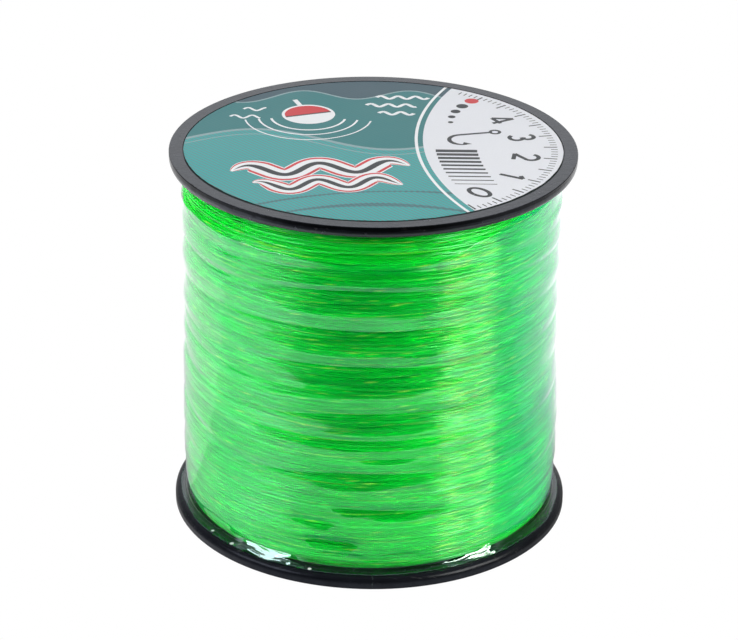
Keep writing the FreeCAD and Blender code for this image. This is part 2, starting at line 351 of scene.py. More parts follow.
SIDES = 6
ang = np.radians(PHI_A[path_col])
alpha = 2 * np.pi * (np.arange(SIDES) + 0.5) / SIDES
turns_all = turn_of[-1] + 1
rr = path_r[:, None] + LINE_R * np.cos(alpha)[None, :]
zz = path_z[:, None] + LINE_R * np.sin(alpha)[None, :]
strand_v = np.stack([rr * np.cos(ang)[:, None], rr * np.sin(ang)[:, None], zz], -1).reshape(-1, 3)
I, J = np.meshgrid(np.arange(count - 1), np.arange(SIDES), indexing="ij")
a = I * SIDES + J
b = I * SIDES + (J + 1) % SIDES
strand_f = np.stack([a, a + SIDES, b + SIDES, b], -1).reshape(-1, 4)
caps = np.array([np.arange(SIDES)[::-1], (count - 1) * SIDES + np.arange(SIDES)])
cap_quads = np.concatenate([caps[:, [0, 1, 2, 3]], caps[:, [0, 3, 4, 5]]])
# each turn of line is one row of the map that its colours are baked to
u0 = (I % NA) / NA
v0 = (turn_of[I] + J / SIDES) / turns_all
strand_uv = np.stack([np.stack([u0, v0], -1), np.stack([u0 + 1 / NA, v0], -1),
                      np.stack([u0 + 1 / NA, v0 + 1 / (SIDES * turns_all)], -1), np.stack([u0, v0 + 1 / (SIDES * turns_all)], -1)], 2).reshape(-1, 2)
strand_uv = np.concatenate([strand_uv, np.tile([[0.001, 0.0001], [0.002, 0.0001], [0.002, 0.0002], [0.001, 0.0002]], (4, 1))])

# tone of the line along its length: slow drift, short flecks, and a few painted glints. Painted light and shade by
# side: each turn's lower side is made lighter and its upper side darker, for the light that clear line gathers from
# above on its lower side.
g = np.random.default_rng(77)
slow = gauss(g.normal(0, 1, count), 7.0, mode="edge") * math.sqrt(7.0 * 3.54)
quick = gauss(g.normal(0, 1, count), 1.6, mode="edge") * math.sqrt(1.6 * 3.54)
per_turn = g.normal(0, 1, turns_all + 1)
drift = np.interp(np.arange(count) / NA, np.arange(len(per_turn)), per_turn)
tone = 0.5 + 0.13 * slow + 0.10 * quick + 0.13 * drift
depth_under = final_height[path_col, cell] - (path_r + LINE_R)
# painted light: the turns that lie deeper are made lighter, for the light that gets down between the clear turns, so
# the ones below don't look much darker
tone = tone + 0.16 * np.clip(depth_under / 0.5, 0, 1)
# painted side shading: lower side lighter, upper side darker
painted_side_shading = np.array([-0.04, -0.08, 0.0, 0.0, 0.08, 0.07])
tone = np.clip(tone[:, None] + painted_side_shading[None, :] * (1.0 + 0.5 * quick[:, None]), 0, 1)
painted_glint = np.zeros((count, SIDES))
# painted highlights: short glints, and fainter lit edges that run on for a while
for share, w_lo, w_hi, reach, top_g, power in ((0.058, 0.20, 0.55, 2, 0.95, 1.5), (0.0170, 1.1, 3.4, 9, 0.58, 1.1)):
    d = np.arange(-reach, reach + 1)
    for s in g.choice(count - 2 * reach, int(count * share), replace=False):
        w = g.uniform(w_lo, w_hi)
        side = (0, 5, 5)[g.integers(0, 3)]
        painted_glint[s + reach + d, side] = np.maximum(painted_glint[s + reach + d, side], top_g * g.uniform(0.3, 1.0) ** power * np.exp(-0.5 * (d / w) ** 2))
tone, painted_glint = tone.reshape(-1, 1), painted_glint.reshape(-1, 1)
dark = np.array([0.000, 0.520, 0.018])
mid = np.array([0.001, 0.690, 0.036])
light = np.array([0.016, 0.850, 0.074])
painted_highlight_colour = np.array([0.560, 1.000, 0.120])
c = np.where(tone < 0.5, dark + (mid - dark) * (tone * 2), mid + (light - mid) * (tone * 2 - 1))
# painted shade: the turns close under the upper flange, at the front, are made deeper in colour
z_of = np.repeat(path_z, SIDES)[:, None]
a_of = np.repeat(PHI_A[path_col], SIDES)[:, None]
c = c * (1.0 - 0.24 * smooth01((z_of - 66.3) / 2.2) * np.exp(-((wrap_deg(a_of) + 92.0) / 25.0) ** 2))
# painted shade also on the turns that the film presses into the creases, on the side that gets the least light
crease_shade = np.zeros((NA, len(Z_CELLS)))
for z_at, d_at, above, below in crease_tracks(PHI_A):
    t_ = z_at[:, None] - Z_CELLS[None, :]
    crease_shade = np.maximum(crease_shade, np.where(t_ > -0.3, np.clip(d_at / 0.42, 0, 1)[:, None] * smooth01((below[:, None] * 1.02 - t_) / 0.9), 0.0))
deep = np.repeat(crease_shade[path_col, cell], SIDES)[:, None] * np.exp(-((wrap_deg(a_of) + 92.0) / 16.0) ** 2)
c = c * (1.0 - 0.25 * deep)
# painted light: low down at the sides the line is made lighter, for the light it takes up from the table
side_light = 0.34 * np.exp(-((wrap_deg(a_of) + 16.0) / 28.0) ** 2) + 0.20 * np.exp(-(wrap_deg(a_of + 174.0) / 20.0) ** 2)
c = c * (1.0 + side_light * smooth01((26.0 - z_of) / 15.0))
c = np.minimum(c * 1.00, 0.98)
# the painted glints are mixed into the line colour
c = c + (painted_highlight_colour - c) * (painted_glint * 0.90)


# ---------------------------------------------------------------- materials
def new_material(name):
    m = bpy.data.materials.new(name)
    m.use_nodes = True
    nt = m.node_tree
    nt.nodes.clear()
    out = nt.nodes.new("ShaderNodeOutputMaterial")
    return m, nt, out


class Nodes:
    """Short ways to add and link shader nodes."""

    def __init__(self, tree):
        self.t = tree

    def add(self, kind, **values):
        n = self.t.nodes.new(kind)
        for k, v in values.items():
            if k in n.inputs:
                self.put(n.inputs[k], v)
            else:
                setattr(n, k, v)
        return n

    def put(self, socket, v):
        if isinstance(v, bpy.types.NodeSocket):
            self.t.links.new(v, socket)
        elif isinstance(v, (tuple, list)) and len(v) == 3 and socket.type == "RGBA":
            socket.default_value = (*v, 1.0)
        else:
            socket.default_value = v

    def math(self, op, *args, clamp=False):
        n = self.t.nodes.new("ShaderNodeMath")
        n.operation = op
        n.use_clamp = clamp
        for i, v in enumerate(args):
            self.put(n.inputs[i], v)
        return n.outputs[0]

    def step(self, v, lo, hi):
        """0 below lo, 1 above hi, smooth between; lo may be the higher one."""
        n = self.t.nodes.new("ShaderNodeMapRange")
        n.interpolation_type = "SMOOTHSTEP"
        self.put(n.inputs[0], v)
        n.inputs[1].default_value, n.inputs[2].default_value = lo, hi
        return n.outputs[0]

    def mix(self, f, a, b):
        n = self.t.nodes.new("ShaderNodeMix")
        n.data_type = "RGBA"
        self.put(n.inputs[0], f)
        self.put(n.inputs[6], a)
        self.put(n.inputs[7], b)
        return n.outputs[2]

    def mixf(self, f, a, b):
        n = self.t.nodes.new("ShaderNodeMix")
        n.data_type = "FLOAT"
        self.put(n.inputs[0], f)
        self.put(n.inputs[2], a)
        self.put(n.inputs[3], b)
        return n.outputs[0]

    def mapped(self, coord, scale):
        n = self.t.nodes.new("ShaderNodeMapping")
        self.t.links.new(coord, n.inputs[0])
        n.inputs["Scale"].default_value = scale
        return n.outputs[0]

    def noise(self, vec, scale=1.0, detail=2.0, rough=0.5):
        n = self.t.nodes.new("ShaderNodeTexNoise")
        self.t.links.new(vec, n.inputs["Vector"])
        n.inputs["Scale"].default_value = scale
        n.inputs["Detail"].default_value = detail
        n.inputs["Roughness"].default_value = rough
        return n.outputs["Fac"]

    def bump(self, h, distance, strength=1.0, normal=None):
        n = self.t.nodes.new("ShaderNodeBump")
        self.t.links.new(h, n.inputs["Height"])
        n.inputs["Distance"].default_value = distance
        n.inputs["Strength"].default_value = strength
        if normal is not None:
            self.t.links.new(normal, n.inputs["Normal"])
        return n.outputs[0]


def line_material(name, use_attribute=True):
    m, nt, out = new_material(name)
    N = Nodes(nt)
    coord = N.add("ShaderNodeTexCoord").outputs["Object"]
    streak = N.noise(N.mapped(coord, (80, 80, 2900)), 1.0, 2.0, 0.6)
    if use_attribute:
        tint = N.add("ShaderNodeAttribute", attribute_name="line_tint_with_painted_light").outputs["Color"]
    else:
        tint = N.mix(N.step(streak, 0.3, 0.7), (0.0, 0.72, 0.022), (0.0, 0.90, 0.045))
    gain = N.mixf(N.step(streak, 0.32, 0.68), 0.90, 1.08)
    base = N.add("ShaderNodeMix", data_type="RGBA", blend_type="MULTIPLY")
    base.inputs[0].default_value = 1.0
    N.put(base.inputs[6], tint)
    comb = N.add("ShaderNodeCombineColor")
    for i in range(3):
        N.put(comb.inputs[i], gain)
    N.put(base.inputs[7], comb.outputs[0])
    p = N.add("ShaderNodeBsdfPrincipled")
    N.put(p.inputs["Base Color"], base.outputs[2])
    N.put(p.inputs["Roughness"], N.mixf(streak, 0.16, 0.34))
    p.inputs["IOR"].default_value = 1.58
    # turn by turn, the line lies more or less square to the light
    catch = N.noise(N.mapped(coord, (55, 55, 2300)), 1.0, 2.0, 0.6)
    N.put(p.inputs["Specular IOR Level"], N.mixf(N.step(catch, 0.44, 0.60), 0.15, 1.0))
    p.inputs["Specular Tint"].default_value = (0.38, 1.0, 0.72, 1.0)
    p.subsurface_method = "BURLEY"
    p.inputs["Subsurface Weight"].default_value = 1.0
    p.inputs["Subsurface Radius"].default_value = (0.25, 1.0, 0.35)
    p.inputs["Subsurface Scale"].default_value = 0.0022
    N.put(p.inputs["Normal"], N.bump(N.noise(N.mapped(coord, (700, 700, 1400)), 1.0, 2.0), 0.00002, 0.6))
    nt.links.new(p.outputs[0], out.inputs[0])
    return m


def film_material():
    m, nt, out = new_material("film_clear")
    N = Nodes(nt)
    coord = N.add("ShaderNodeTexCoord").outputs["Object"]
    geo = N.add("ShaderNodeNewGeometry")
    back = geo.outputs["Backfacing"]
    ior = N.mixf(back, 1.50, 1.0 / 1.50)
    strands = N.noise(N.mapped(coord, (60, 60, 1900)), 1.0, 2.0, 0.55)
    creep = N.noise(N.mapped(coord, (90, 90, 420)), 1.0, 2.0, 0.5)
    lw = N.add("ShaderNodeLayerWeight")
    lw.inputs[0].default_value = 0.5
    sep = N.add("ShaderNodeSeparateXYZ")
    nt.links.new(coord, sep.inputs[0])
    on_line = N.step(sep.outputs[2], 0.0040, 0.0062)
    on_foot = N.step(sep.outputs[2], 0.0046, 0.0040)
    # seen at a slant, the ribs of the turns hide each other's hollows
    flat_on = N.math("POWER", N.math("SUBTRACT", 1.0, lw.outputs["Facing"], clamp=True), 1.2)
    n1 = N.bump(strands, 0.000035)
    N.put(n1.node.inputs["Strength"], N.math("MULTIPLY", flat_on, 0.26))
    n2 = N.bump(creep, 0.00012, 0.12, n1)
    N.put(n2.node.inputs["Strength"], N.mixf(on_foot, N.math("MULTIPLY", flat_on, 0.12), 0.45))
    f = N.add("ShaderNodeFresnel")
    N.put(f.inputs["IOR"], ior)
    N.put(f.inputs["Normal"], n2)
    # the film's two faces reflect together
    fac = N.math("DIVIDE", N.math("MULTIPLY", f.outputs[0], 2.3), N.math("ADD", N.math("MULTIPLY", f.outputs[0], 1.3), 1.0), clamp=True)
    # where it clings to the flange, its inner face reflects nothing
    marks = N.add("ShaderNodeSeparateColor")
    nt.links.new(N.add("ShaderNodeAttribute", attribute_name="film_marks").outputs["Color"], marks.inputs[0])
    fac = N.math("MULTIPLY", fac, N.mixf(on_foot, 1.0, N.mixf(marks.outputs[1], 0.42, 1.9)), clamp=True)
    fac = N.math("MULTIPLY", fac, N.mixf(marks.outputs[2], 1.0, 0.12))
    t = N.add("ShaderNodeBsdfTransparent")
    t.inputs[0].default_value = (0.985, 1.0, 0.99, 1.0)
    gloss_colour = N.mix(N.step(f.outputs[0], 0.04, 0.12), (0.70, 1.0, 0.98), (1.0, 1.0, 1.0))
    gl = N.add("ShaderNodeBsdfAnisotropic")
    N.put(gl.inputs["Color"], gloss_colour)
    gl.inputs["Roughness"].default_value = 0.06
    N.put(gl.inputs["Normal"], n2)
    # drawn tight over the turns, the film also spreads part of the light up and down
    tan = N.add("ShaderNodeTangent", direction_type="RADIAL", axis="Z")
    spread = N.add("ShaderNodeBsdfAnisotropic")
    spread.inputs["Color"].default_value = (0.88, 1.0, 0.44, 1.0)
    spread.inputs["Roughness"].default_value = 0.34
    spread.inputs["Anisotropy"].default_value = 0.9
    # the crests of the turns that show through it lean back a little
    raised = N.add("ShaderNodeVectorMath", operation="ADD")
    N.put(raised.inputs[0], n2)
    raised.inputs[1].default_value = (0.0, 0.0, 0.27)
    unit = N.add("ShaderNodeVectorMath", operation="NORMALIZE")
    N.put(unit.inputs[0], raised.outputs[0])
    N.put(spread.inputs["Normal"], unit.outputs[0])
    N.put(spread.inputs["Tangent"], tan.outputs[0])
    glosses = N.add("ShaderNodeMixShader")
    crests = N.noise(N.mapped(coord, (260, 260, 2200)), 1.0, 2.0, 0.6)
    # drawn tightest over the right of the front
    far_ = N.math("SQRT", N.math("ADD", N.math("MULTIPLY", sep.outputs[0], sep.outputs[0]), N.math("MULTIPLY", sep.outputs[1], sep.outputs[1])))
    towards = N.math("DIVIDE", N.math("ADD", N.math("MULTIPLY", sep.outputs[0], math.cos(math.radians(-58.0))), N.math("MULTIPLY", sep.outputs[1], math.sin(math.radians(-58.0)))), far_)
    square_on = N.math("MULTIPLY", N.step(lw.outputs["Facing"], 0.60, 0.28), N.mixf(N.step(towards, math.cos(math.radians(24.0)), math.cos(math.radians(12.0))), 0.35, 1.0))
    N.put(glosses.inputs[0], N.math("MULTIPLY", N.math("MULTIPLY", N.mixf(N.step(crests, 0.46, 0.64), 0.05, 0.80), on_line), square_on))
    nt.links.new(gl.outputs[0], glosses.inputs[1])
    nt.links.new(spread.outputs[0], glosses.inputs[2])
    # the film's own faint milkiness, which shows most where it is seen at a slant
    milk = N.add("ShaderNodeBsdfDiffuse")
    milk.inputs[0].default_value = (0.0, 0.42, 0.80, 1.0)
    veil = N.add("ShaderNodeMixShader")
    milkier = N.mixf(N.step(sep.outputs[0], 0.012, 0.032), 0.70, 1.75)
    N.put(veil.inputs[0], N.math("MULTIPLY", N.math("MULTIPLY", N.math("ADD", N.math("MULTIPLY", lw.outputs["Facing"], 0.24), 0.006, clamp=True), on_line), milkier))
    nt.links.new(t.outputs[0], veil.inputs[1])
    nt.links.new(milk.outputs[0], veil.inputs[2])
    mix = N.add("ShaderNodeMixShader")
    N.put(mix.inputs[0], fac)
    nt.links.new(veil.outputs[0], mix.inputs[1])
    nt.links.new(glosses.outputs[0], mix.inputs[2])
    # painted light: a pale line at the film's cut edge, for light that runs along in the film and comes out there
    cut = marks.outputs[0]
    lit = N.add("ShaderNodeBsdfDiffuse")
    lit.inputs[0].default_value = (0.12, 0.21, 0.21, 1.0)
    edge = N.add("ShaderNodeMixShader")
    N.put(edge.inputs[0], N.math("MULTIPLY", N.step(cut, 0.3, 0.9), N.mixf(creep, 0.15, 0.75)))
    nt.links.new(mix.outputs[0], edge.inputs[1])
    nt.links.new(lit.outputs[0], edge.inputs[2])
    # painted highlights: three small white spots on the crumpled foot, standing in for glints
    painted_white_spots = None
    for az_, rad_, size_ in ((-144.6, 0.0378, 0.00044), (-135.0, 0.0379, 0.00056), (-107.4, 0.0380, 0.00050)):
        dx = N.math("SUBTRACT", sep.outputs[0], rad_ * math.cos(math.radians(az_)))
        dy = N.math("SUBTRACT", sep.outputs[1], rad_ * math.sin(math.radians(az_)))
        near = N.step(N.math("SQRT", N.math("ADD", N.math("MULTIPLY", dx, dx), N.math("MULTIPLY", dy, dy))), size_, size_ * 0.45)
        painted_white_spots = near if painted_white_spots is None else N.math("MAXIMUM", painted_white_spots, near)
    white = N.add("ShaderNodeBsdfDiffuse")
    white.inputs[0].default_value = (0.80, 0.88, 0.88, 1.0)
    white_spot_mix = N.add("ShaderNodeMixShader")
    N.put(white_spot_mix.inputs[0], N.math("MULTIPLY", N.math("MULTIPLY", painted_white_spots, on_foot), N.mixf(creep, 0.7, 1.0)))
    nt.links.new(edge.outputs[0], white_spot_mix.inputs[1])
    nt.links.new(white.outputs[0], white_spot_mix.inputs[2])
    nt.links.new(white_spot_mix.outputs[0], out.inputs[0])
    return m


def film_inner_material():
    m, nt, out = new_material("film_inside")
    N = Nodes(nt)
    t = N.add("ShaderNodeBsdfTransparent")
    t.inputs[0].default_value = (0.985, 1.0, 0.99, 1.0)
    nt.links.new(t.outputs[0], out.inputs[0])
    return m


def plastic_material(name, base=(0.0045, 0.0052, 0.0080), rough=0.21):
    """Black moulded plastic: fine grain, slight sheen, scuffs, nicks, painted shade and light at the upper rim, a
    dulled lower rim edge and a parting line.
    """
    m, nt, out = new_material(name)
    N = Nodes(nt)
    coord = N.add("ShaderNodeTexCoord").outputs["Object"]
    sep = N.add("ShaderNodeSeparateXYZ")
    nt.links.new(coord, sep.inputs[0])
    x, y, z = sep.outputs
    rad = N.math("SQRT", N.math("ADD", N.math("MULTIPLY", x, x), N.math("MULTIPLY", y, y)))
    grain = N.noise(N.mapped(coord, (1500, 1500, 1500)), 1.0, 4.0, 0.65)
    mottle = N.noise(N.mapped(coord, (520, 520, 520)), 1.0, 3.0, 0.6)
    cloud = N.noise(N.mapped(coord, (120, 120, 120)), 1.0, 3.0, 0.5)
    scuff = N.noise(N.mapped(coord, (260, 1900, 900)), 1.0, 2.0, 0.5)
    col = N.mix(N.step(cloud, 0.3, 0.7), base, tuple(1.5 * v for v in base))
    col = N.mix(N.math("MULTIPLY", N.step(scuff, 0.66, 0.76), 0.35), col, (0.07, 0.07, 0.075))
    # nicks along the sharp outer corner of the upper rim, and painted shade in the thin undercut below it
    nick = N.math("MULTIPLY", N.step(N.noise(N.mapped(coord, (190, 190, 60)), 1.0, 3.0, 0.7), 0.60, 0.66),
                  N.math("MULTIPLY", N.step(rad, 0.03900, 0.03925), N.step(z, 0.0742, 0.0748)))
    wavy = N.math("MULTIPLY", N.math("SUBTRACT", N.noise(N.mapped(coord, (240, 240, 30)), 1.0, 3.0, 0.6), 0.5), 0.00060)
    zw = N.math("ADD", z, wavy)
    shade = N.math("MULTIPLY", N.step(rad, 0.03936, 0.03942), N.math("MULTIPLY", N.step(zw, 0.07462, 0.07482), N.step(z, 0.07546, 0.07538)))
    # dark holds the nicks and the painted shade band
    dark = N.math("MAXIMUM", N.math("MULTIPLY", nick, 0.75), N.math("MULTIPLY", shade, 0.72), clamp=True)
    # the parting line down the lower rim, a little left of the middle
    a_ = math.radians(-88.8)
    strays = N.math("MULTIPLY", N.math("SUBTRACT", N.noise(N.mapped(coord, (300, 300, 1500)), 1.0, 3.0, 0.7), 0.5), 0.0011)
    off_line = N.math("ABSOLUTE", N.math("ADD", strays, N.math("ADD", N.math("MULTIPLY", x, -math.sin(a_)), N.math("MULTIPLY", y, math.cos(a_)))))
    parting = N.math("MULTIPLY", N.step(off_line, 0.00016, 0.00006), N.math("MULTIPLY", N.step(y, 0.0, -0.01), N.math("MULTIPLY", N.step(rad, 0.0384, 0.0388), N.step(z, 0.004, 0.003))))
    col = N.mix(dark, col, (0.001, 0.001, 0.001))
    parting = N.math("MULTIPLY", parting, N.step(N.noise(N.mapped(coord, (900, 900, 1600)), 1.0, 2.0), 0.40, 0.56))
    col = N.mix(N.math("MULTIPLY", parting, N.mixf(N.step(z, 0.0004, 0.0024), 0.15, 0.9)), col, (0.085, 0.110, 0.110))
    # painted light: the upper rim's lower corner is made lighter
    painted_light_low_corner = N.math("MULTIPLY", N.step(rad, 0.0389, 0.0392), N.math("MULTIPLY", N.step(z, 0.0729, 0.0732), N.step(z, 0.0745, 0.0741)))
    col = N.mix(N.math("MULTIPLY", painted_light_low_corner, N.mixf(cloud, 0.5, 1.0)), col, (0.024, 0.030, 0.030))
    # the lower rim's rounded edge is rubbed dull
    dull = N.math("MULTIPLY", N.math("MULTIPLY", N.step(rad, 0.0380, 0.0384), N.step(z, 0.0009, 0.0015)), N.step(z, 0.0040, 0.0030))
    p = N.add("ShaderNodeBsdfPrincipled")
    N.put(p.inputs["Base Color"], col)
    N.put(p.inputs["Roughness"], N.mixf(mottle, rough - 0.06, rough + 0.12))
    p.inputs["IOR"].default_value = 1.5
    sheen_ = N.mixf(N.step(mottle, 0.38, 0.64), 0.50, 0.66)
    N.put(p.inputs["Specular IOR Level"], N.mixf(N.math("MULTIPLY", dull, 0.80), N.mixf(dark, sheen_, 0.03), 0.0))
    p.inputs["Specular Tint"].default_value = (0.74, 0.81, 1.0, 1.0)
    worn = N.bump(mottle, 0.00008, 0.35)
    N.put(p.inputs["Normal"], N.bump(grain, 0.00006, 0.55, worn))
    nt.links.new(p.outputs[0], out.inputs[0])
    return m


line_mat = line_material("line_green")
core_mat = line_material("line_green_below", False)
film_mat = film_material()
film_in_mat = film_inner_material()
plastic = plastic_material("spool_black_plastic")

# ---------------------------------------------------------------- strands and the close-wound line below them
core_phi = PHI_A[::2]
rows = []
for k in range(int((Z_HIGH - Z_LOW) / ridge_h)):
    for u in (-0.98, -0.6, 0.0, 0.6):
        rows.append((Z_LOW + (k + 0.5) * ridge_h + u * LINE_R, math.sqrt(1 - u * u) * LINE_R))
rows = np.array(rows)
core_r = np.stack([np.interp(rows[:, 0], Z_CELLS, core_smooth[2 * i] + gauss(ease, 6.0, 0)[2 * i]) for i in range(len(core_phi))]) - LINE_R + rows[:, 1][None, :]
ca = np.radians(core_phi)
nrow = len(rows)
outer = np.stack([core_r * np.cos(ca)[:, None], core_r * np.sin(ca)[:, None], np.broadcast_to(rows[:, 0], core_r.shape)], -1)
r_in = 27.66
inner_top = np.stack([r_in * np.cos(ca), r_in * np.sin(ca), np.full(len(ca), rows[-1, 0])], -1)[:, None]
inner_bot = np.stack([r_in * np.cos(ca), r_in * np.sin(ca), np.full(len(ca), rows[0, 0])], -1)[:, None]
sheet = np.concatenate([inner_bot, outer, inner_top], 1)
nv = sheet.shape[1]
q = grid_faces(len(ca), nv)
u = np.arange(len(ca))
close = np.stack([u * nv + nv - 1, ((u + 1) % len(ca)) * nv + nv - 1, ((u + 1) % len(ca)) * nv, u * nv], -1)
off = len(strand_v)
U, V = np.meshgrid(np.arange(len(ca)), np.arange(nv - 1), indexing="ij")
u0, v0 = U.ravel() / len(ca), 0.955 + 0.040 * V.ravel() / nv
du, dv = 1 / len(ca), 0.040 / nv
core_uv = np.stack([np.stack([u0, v0], -1), np.stack([u0 + du, v0], -1), np.stack([u0 + du, v0 + dv], -1), np.stack([u0, v0 + dv], -1)], 1).reshape(-1, 2)
strand_uv = strand_uv * (1.0, 0.95)
line_uv = np.concatenate([strand_uv, core_uv, np.tile([[0.001, 0.997], [0.002, 0.997], [0.002, 0.998], [0.001, 0.998]], (len(close), 1))])
strands = make_mesh("line_strands", np.concatenate([strand_v, sheet.reshape(-1, 3)]), [strand_f, cap_quads, q + off, close + off], mats=[line_mat], uv=line_uv)
below_c = np.array([0.0, 0.78, 0.034]) * (0.92 + 0.16 * np.random.default_rng(41).random((len(ca), nv, 1)))
colour_attribute(strands, "line_tint_with_painted_light", np.concatenate([c, below_c.reshape(-1, 3)]))

# ---------------------------------------------------------------- shrink film
NF = 300
phi_f = -180.0 + 360.0 * np.arange(NF) / NF
edge_z = 67.25 + 0.16 * ring_noise(NF, 3, 11, 3) + 0.10 * ring_noise(NF, 14, 12, 2)
# it has crept up a little at the right of the front
edge_z = edge_z + 0.9 * np.exp(-((wrap_deg(phi_f) + 60.0) / 7.0) ** 2) - 0.5 * np.exp(-((wrap_deg(phi_f) + 20.0) / 22.0) ** 2)
# and to the right of that it reaches up to the flange
lift = smooth01((wrap_deg(phi_f) + 68.0) / 28.0) * smooth01((75.0 - wrap_deg(phi_f)) / 30.0)
edge_z = edge_z + 4.2 * lift
low_z = 4.4
rows_t = np.linspace(0, 1, 250)
zf = low_z + (edge_z[:, None] - low_z) * rows_t[None, :]
fine_z = np.arange(Z_LOW, Z_HIGH, 0.05)
skin = skin_radius(phi_f, fine_z)
rf = np.stack([np.interp(zf[i], fine_z, skin[i]) for i in range(NF)])
rf = rf + 0.02 * np.clip((rows_t[None, :] - 0.985) / 0.015, 0, 1) * (1.0 - lift[:, None])
# at the sides its upper edge stands off the line
for mid_, half_ in ((-166.0, 12.0), (100.0, 20.0)):
    off_ = (smooth01(1.25 - np.abs(wrap_deg(phi_f - mid_)) / half_))[:, None]
    rf = rf + 0.34 * off_ * np.clip((zf - edge_z[:, None] + 2.6) / 2.6, 0, 1) ** 1.6
# and on the right it has a fold a little below it
off_ = (smooth01(1.25 - np.abs(wrap_deg(phi_f + 6.0)) / 16.0))[:, None]
rf = rf + 0.30 * off_ * np.where(zf < 66.6, np.exp(-((zf - 66.6) / 1.3) ** 2), np.exp(-((zf - 66.6) / 0.5) ** 2))
# below, the film turns out over the flange's inner face and is crumpled there
foot = []
FOOT = 14
t = np.linspace(0, 1, FOOT)
crumple_zone = np.zeros(NF)
for lo, hi in ((-134, -110), (-68, -46), (20, 60), (120, 165)):
    d = wrap_deg(phi_f - (lo + hi) / 2.0)
    crumple_zone = np.maximum(crumple_zone, smooth01(((hi - lo) / 2.0 + 2.0 - np.abs(d)) / 3.0))
r0 = rf[:, 0]
edge_r = 38.36 + 0.10 * ring_noise(NF, 5, 21, 3)
foot_r = np.stack([r0 + 0.00, r0 + 0.02, r0 + 0.04, r0 + 0.07, np.maximum(r0 + 0.12, 37.42)] + [37.5 + (edge_r - 37.5) * s for s in np.linspace(0.05, 1, FOOT - 5)], 1)
foot_z = np.stack([np.full(NF, low_z - 0.3), np.full(NF, low_z - 0.7), np.full(NF, low_z - 1.1), np.full(NF, low_z - 1.45), np.full(NF, 2.72)]
                  + [np.full(NF, 2.57 + 0.03 * (1 - s)) for s in np.linspace(0.05, 1, FOOT - 5)], 1)
# where it is crumpled it stands off as a slanted web between the pack and its edge
for lo, hi, share in ((-133, -111, 1.0), (-67, -47, 1.0), (24, 52, 0.8), (126, 160, 0.7)):
    d = np.abs(wrap_deg(phi_f - (lo + hi) / 2.0))
    web = (share * smooth01(((hi - lo) / 2.0 + 1.0 - d) / 4.0))[:, None]
    s_ = np.linspace(0, 1, FOOT)[None, :]
    foot_r = foot_r + (r0[:, None] + 0.02 + (edge_r - r0)[:, None] * s_ ** 0.92 - foot_r) * web
    slant = low_z - 0.12 + (2.60 - low_z + 0.12) * s_
    if lo == -67:
        # here the web starts out narrow and widens to the right
        wide = np.interp(phi_f, (-70, -64, -57, -52, -46), (0.16, 0.30, 0.52, 1.0, 1.0))[:, None]
        slant = np.where(s_ > 0, 2.60 + (low_z - 0.12 - 2.60) * np.clip(wide - s_, 0, 1), slant)
    foot_z = foot_z + (slant - foot_z) * web
g = np.random.default_rng(5)
crumple = gauss(gauss(g.normal(0, 1, (NF, FOOT)), 1.1, 0), 1.0, 1, mode="edge")
crumple = crumple / crumple.std()
amp = (0.02 + 0.15 * crumple_zone)[:, None] * np.linspace(0, 1, FOOT)[None, :] ** 0.5
foot_z = np.maximum(foot_z + amp * crumple, 2.48 + FILM_T)
rf = np.concatenate([foot_r[:, ::-1], rf], 1)
zf = np.concatenate([foot_z[:, ::-1], zf], 1)
fa = np.radians(phi_f)
outer = np.stack([rf * np.cos(fa)[:, None], rf * np.sin(fa)[:, None], zf], -1)
# thickness: moved in against the surface's own direction in the radial plane
dr, dz = np.gradient(rf, axis=1), np.gradient(zf, axis=1)
ln = np.sqrt(dr * dr + dz * dz) + 1e-9
nr, nz = dz / ln, -dr / ln
ri, zi = rf - FILM_T * nr, zf - FILM_T * nz
inner = np.stack([ri * np.cos(fa)[:, None], ri * np.sin(fa)[:, None], zi], -1)
nvf = rf.shape[1]
verts = np.concatenate([outer.reshape(-1, 3), inner.reshape(-1, 3)])
off = NF * nvf
q_out = grid_faces(NF, nvf)
q_in = grid_faces(NF, nvf, offset=off, flip=True)
u = np.arange(NF)
w = (u + 1) % NF
rim_top = np.stack([u * nvf + nvf - 1, w * nvf + nvf - 1, off + w * nvf + nvf - 1, off + u * nvf + nvf - 1], -1)
rim_bot = np.stack([w * nvf, u * nvf, off + u * nvf, off + w * nvf], -1)
mi = np.concatenate([np.zeros(len(q_out)), np.ones(len(q_in)), np.zeros(len(rim_top) + len(rim_bot))])
film = make_mesh("shrink_film_skin", verts, [q_out, q_in, rim_top, rim_bot], mats=[film_mat, film_in_mat], mat_index=mi)
cut = np.zeros((NF, nvf))
cut[:, 0], cut[:, 1] = 1.0, 0.7
bright_zone = np.zeros(NF)
for lo, hi, share in ((-134, -110, 1.0), (-68, -46, 0.42), (20, 60, 0.6), (120, 165, 0.7)):
    bright_zone = np.maximum(bright_zone, share * smooth01(((hi - lo) / 2.0 + 2.0 - np.abs(wrap_deg(phi_f - (lo + hi) / 2.0))) / 3.0))
creased = np.repeat(bright_zone[:, None], nvf, 1)
quiet = np.zeros((NF, nvf))
quiet[:, -4:] = np.clip(lift, 0, 1)[:, None] ** 0.5
masks = np.stack([cut, creased, quiet], -1).reshape(-1, 3)
colour_attribute(film, "film_marks", np.concatenate([masks, masks]))

# ---------------------------------------------------------------- label: a printed disc with a plain design of its own
LABEL_R, LABEL_LO, LABEL_HI = 36.70, 75.28, 75.44
